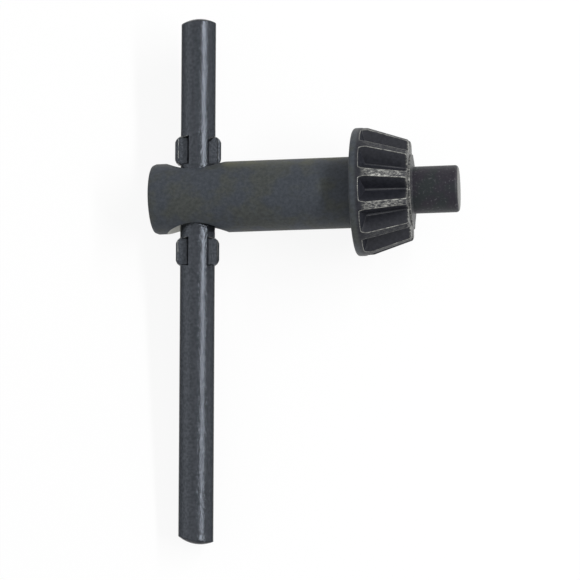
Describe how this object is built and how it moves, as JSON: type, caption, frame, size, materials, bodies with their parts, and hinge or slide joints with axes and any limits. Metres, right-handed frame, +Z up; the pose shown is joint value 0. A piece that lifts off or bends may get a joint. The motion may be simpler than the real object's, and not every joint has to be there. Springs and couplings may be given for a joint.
{
  "type": "drill chuck key",
  "caption": "Drill chuck key: bevel pinion with a pilot pin on a round shank, turned by a sliding bar kept in its cross hole by staked ears.",
  "frame": {"origin": "on the floor, under the middle of the key's box as it lies at rest", "axes": "+X along the shank towards the pilot (which points up by about 8 degrees), +Y along the bar towards its short arm, +Z up"},
  "size_m": [0.0402, 0.0678, 0.0165],
  "materials": {
    "key_body_steel": "matt black oxide on turned steel",
    "handle_bar_steel": "satin black oxide on drawn steel bar"
  },
  "bodies": {
    "root": {"key_body": "key_body_steel", "handle_bar": "handle_bar_steel"}
  },
  "joints": []
}
